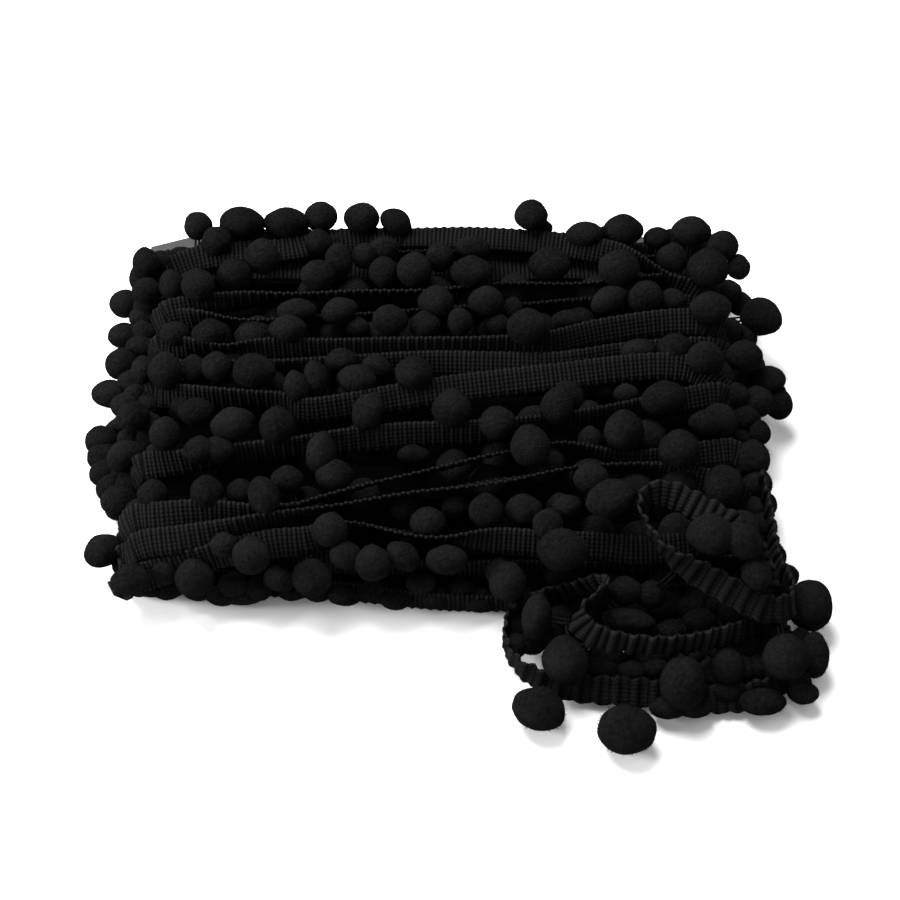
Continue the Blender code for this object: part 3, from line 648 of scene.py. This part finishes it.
def ballPlace(centre, wide, tall, deep, axisUp, axisRight, spin):
    up = axisUp.normalized()
    right = (axisRight - up * axisRight.dot(up)).normalized()
    frontward = up.cross(right) * -1
    usual = ballSize["usual"]
    turned = Matrix((right, frontward, up)).transposed()
    sized = Matrix.Diagonal((wide / usual, deep / usual, tall / usual))
    scaled = turned @ sized @ Matrix.Rotation(spin, 3, "Z")
    return Matrix.Translation(centre * mm) @ scaled.to_4x4()


def placeBalls(name, places, models, seed):
    draw = random.Random(seed)
    made = []
    for place in places:
        one = models[draw.randrange(len(models))].copy()
        one.data = one.data.copy()
        one.data.transform(place)
        bpy.context.scene.collection.objects.link(one)
        made.append(one)
    pick(made[0], made[1:])
    bpy.ops.object.join()
    joined = bpy.context.object
    joined.name = name
    joined.data.materials.clear()
    joined.data.materials.append(ballMaterial)
    return joined


def fromTable(rows, where, draw):
    places, centres = [], []
    for px, py, wide, tall, turn, level in rows:
        centre = where(px, py, level)
        scale = pixelsPerMm(centre)
        across, high = wide / scale, tall / scale
        lowest = (across + high) / 4 + 0.4
        if centre.z < lowest:
            centre = onHeight(px, py, lowest)
        angle = math.radians(turn)
        right = Vector((1, 0, 0))
        axisUp = pictureUp * math.cos(angle) + right * math.sin(-angle)
        axisRight = right * math.cos(angle) + pictureUp * math.sin(angle)
        deep = (across + high) / 2 * 0.95
        places.append(ballPlace(centre, across, high / 1.08, deep, axisUp, axisRight, draw.uniform(0, 6.28)))
        centres.append((centre, min(across, high) / 2))
    return places, centres


draw = random.Random(7)
fineModels = [modelBall(f"looseModel{k}", 4, 10 + k, 260) for k in range(4)]
midModels = [modelBall(f"hankModel{k}", 3, 20 + k, ballSize["fibres"]) for k in range(5)]
plainModels = [modelBall(f"sideModel{k}", 3, 30 + k, 0) for k in range(3)]

hankPlaces, hankCentres = fromTable(topBalls + endBalls, onHeight, draw)
wallPlaces, wallCentres = fromTable(frontBalls, onWall, draw)
loosePlaces, looseCentres = fromTable(looseBalls, onHeight, draw)
seenCentres = hankCentres + wallCentres + looseCentres

# Balls that the picture doesn't show hang from every turn round the ends, the back and the underside
hidden = {"pitch": 17, "thread": 3, "clear": 12.5, "radius": 7.6}
hiddenPlaces, hiddenCentres = [], []
limits = {"x": 131, "front": -93, "back": 90}


def addHidden(centre, axis, radius):
    for other, _ in seenCentres + hiddenCentres:
        if (other - centre).length < hidden["clear"]:
            return
    if abs(centre.x) + radius > limits["x"]:
        return
    if centre.y + radius > limits["back"] or centre.y - radius < limits["front"]:
        return
    side = Vector((1, 0.3, 0)) if abs(axis.x) < 0.8 else Vector((0, 1, 0))
    wide = 2 * radius
    hiddenPlaces.append(ballPlace(centre, wide, wide * 1.06, wide, axis, side, draw.uniform(0, 6.28)))
    hiddenCentres.append((centre, radius))


def visibleFromFront(centre):
    return (centre.z > 30 and abs(centre.x) < 112) or centre.y < -66


step = int(hidden["pitch"] / hankRibs["step"])
outerEdges = woundEdges[: outerPoints // len(tapeSize["columns"])]
for k in range(0, len(outerEdges), step):
    edge = Vector(outerEdges[k])
    away = Vector((edge.x / 4 if abs(edge.x) > 108 else 0, -3, 0))
    if edge.y > 60:
        away.y = 3
    radius = hidden["radius"] * draw.uniform(0.92, 1.06)
    centre = edge + Vector((0, -1, 0)) * (hidden["thread"] + radius) * draw.uniform(0.4, 0.9)
    if edge.y > 70:
        centre.y = 80 + draw.uniform(-2, 3)
    if abs(edge.x) > 112:
        centre.x += math.copysign(draw.uniform(0, 4), edge.x)
    centre.z = min(max(centre.z, radius + 0.3), 34)
    if visibleFromFront(centre):
        continue
    addHidden(centre, (edge - centre).normalized(), radius)

# More of them are tucked low between the rows
for top in topRoutes:
    for x in np.arange(-98, 100, hidden["pitch"]):
        y = float(np.interp(x, [spot[0] for spot in top], [spot[1] for spot in top]))
        centre = Vector((x + draw.uniform(-3, 3), y + draw.uniform(7, 11), 25 + draw.uniform(-2, 1)))
        addHidden(centre, Vector((0, 0.4, 1)), hidden["radius"] * draw.uniform(0.9, 1.05))

hankBalls = placeBalls("hankBalls", hankPlaces + wallPlaces, midModels, 1)
innerBalls = placeBalls("innerBalls", hiddenPlaces, plainModels, 2)
freeBalls = placeBalls("looseBalls", loosePlaces, fineModels, 3)
for model in fineModels + midModels + plainModels:
    bpy.data.objects.remove(model)
print("balls:", len(hankPlaces) + len(wallPlaces), "seen on the hank,", len(hiddenPlaces), "unseen,",
      len(loosePlaces), "loose")

# Each ball hangs on two threads
threadSize = {"radius": 0.45, "apart": 1.5, "sides": 5, "reach": 22}


def threadPair(bm, start, end):
    run = end - start
    if run.length < 0.5:
        return
    side = run.cross(toCamera)
    if side.length < 0.1:
        side = run.cross(Vector((1, 0, 0)))
    side.normalize()
    for way in (-0.5, 0.5):
        turned = run.to_track_quat("Z", "Y").to_matrix().to_4x4()
        middle = (start + end) / 2 + side * way * threadSize["apart"]
        bmesh.ops.create_cone(
            bm, cap_ends=True, segments=threadSize["sides"], depth=run.length * mm,
            radius1=threadSize["radius"] * mm, radius2=threadSize["radius"] * mm,
            matrix=Matrix.Translation(middle * mm) @ turned)


def hangThreads(name, centres, edges):
    bm = bmesh.new()
    for centre, radius in centres:
        gaps = np.linalg.norm(edges - np.array(centre), axis=1)
        best = int(np.argmin(gaps))
        if gaps[best] > threadSize["reach"]:
            continue
        start = Vector(edges[best])
        threadPair(bm, start, centre + (start - centre).normalized() * radius * 0.7)
    mesh = bpy.data.meshes.new(name)
    bm.to_mesh(mesh)
    bm.free()
    mesh.shade_smooth()
    obj = bpy.data.objects.new(name, mesh)
    bpy.context.scene.collection.objects.link(obj)
    mesh.materials.append(threadMaterial)
    return obj


hankThreads = hangThreads("hankThreads", hankCentres + wallCentres + hiddenCentres, woundEdges)
looseThreads = hangThreads("looseThreads", looseCentres, looseEdges)
print("threads made")

# A rounded block fills the middle of the hank, under the turns that show
innerForm = {"long": 218, "deep": 146, "low": 4, "high": 22, "round": 8}
bpy.ops.object.select_all(action="DESELECT")
bpy.ops.mesh.primitive_cube_add(size=1, location=(0, 2 * mm, (innerForm["low"] + innerForm["high"]) / 2 * mm))
core = bpy.context.object
core.name = "innerTurns"
core.scale = (innerForm["long"] * mm, innerForm["deep"] * mm, (innerForm["high"] - innerForm["low"]) * mm)
bpy.ops.object.transform_apply(location=True, rotation=True, scale=True)
rounding = core.modifiers.new("rounding", "BEVEL")
rounding.width = innerForm["round"] * mm
rounding.segments = 4
bpy.ops.object.modifier_apply(modifier=rounding.name)
core.data.shade_smooth()
# painted shade: the block is plain black, darker than the tape's own colour
core.data.materials.append(shadeBlackMaterial)
print("inner turns made")

# Whatever dips under the floor is pressed flat on it
for piece in (woundTape, hankBalls, innerBalls, hankThreads, looseTape, freeBalls, looseThreads):
    for vertex in piece.data.vertices:
        vertex.co.z = max(vertex.co.z, 0.1 * mm)
    piece.data.update()

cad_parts["card_core"].data.materials.clear()
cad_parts["card_core"].data.materials.append(boardMaterial)

# How the pieces stand in the frame
for piece, slotName in (
    (woundTape, "wound_trim"), (hankBalls, "wound_trim"), (innerBalls, "wound_trim"),
    (hankThreads, "wound_trim"), (core, "wound_trim"), (looseTape, "header_tape"),
    (freeBalls, "ball_fringe"), (looseThreads, "ball_fringe"),
):
    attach(piece, "root")
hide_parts("hank")
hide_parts("loose_header")
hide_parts("loose_fringe")

# Pale floor, soft sky, a wide panel over the back left and a small one at the left; metres and watts
studio = {"floorSide": 5, "floorDrop": 0.2, "floorColour": "#cbcbcb", "sky": 1.0,
          "lampPower": 42, "lampSide": 0.8, "lampPlace": (-0.3, 0.35, 1.1), "lampAim": (0, -0.05, 0),
          "sidePower": 30, "sideSide": 0.4, "sidePlace": (-1.15, -0.2, 0.45), "sideAim": (0, -0.02, 0.02)}
bpy.ops.mesh.primitive_plane_add(size=studio["floorSide"], location=(0, 0, -studio["floorDrop"] * mm))
floor = bpy.context.object
floor.name = "paleFloor"
floorMaterial, floorTree, floorShader = newMaterial("paleFloor")
floorShader.inputs["Base Color"].default_value = hexColour(studio["floorColour"])
floorShader.inputs["Roughness"].default_value = 0.9
floorShader.inputs["Specular IOR Level"].default_value = 0.1
floor.data.materials.append(floorMaterial)

world = bpy.data.worlds.new("softSky")
world.use_nodes = True
world.node_tree.nodes["Background"].inputs["Color"].default_value = (1, 1, 1, 1)
world.node_tree.nodes["Background"].inputs["Strength"].default_value = studio["sky"]
bpy.context.scene.world = world

lampData = bpy.data.lights.new("overheadPanel", "AREA")
lampData.shape = "DISK"
lampData.size = studio["lampSide"]
lampData.energy = studio["lampPower"]
lamp = bpy.data.objects.new("overheadPanel", lampData)
lamp.location = studio["lampPlace"]
lamp.rotation_euler = (Vector(studio["lampAim"]) - lamp.location).to_track_quat("-Z", "Y").to_euler()
bpy.context.scene.collection.objects.link(lamp)

sideData = bpy.data.lights.new("leftPanel", "AREA")
sideData.shape = "DISK"
sideData.size = studio["sideSide"]
sideData.energy = studio["sidePower"]
side = bpy.data.objects.new("leftPanel", sideData)
side.location = studio["sidePlace"]
side.rotation_euler = (Vector(studio["sideAim"]) - side.location).to_track_quat("-Z", "Y").to_euler()
bpy.context.scene.collection.objects.link(side)
bpy.context.scene.view_settings.view_transform = "Standard"
print("studio set")
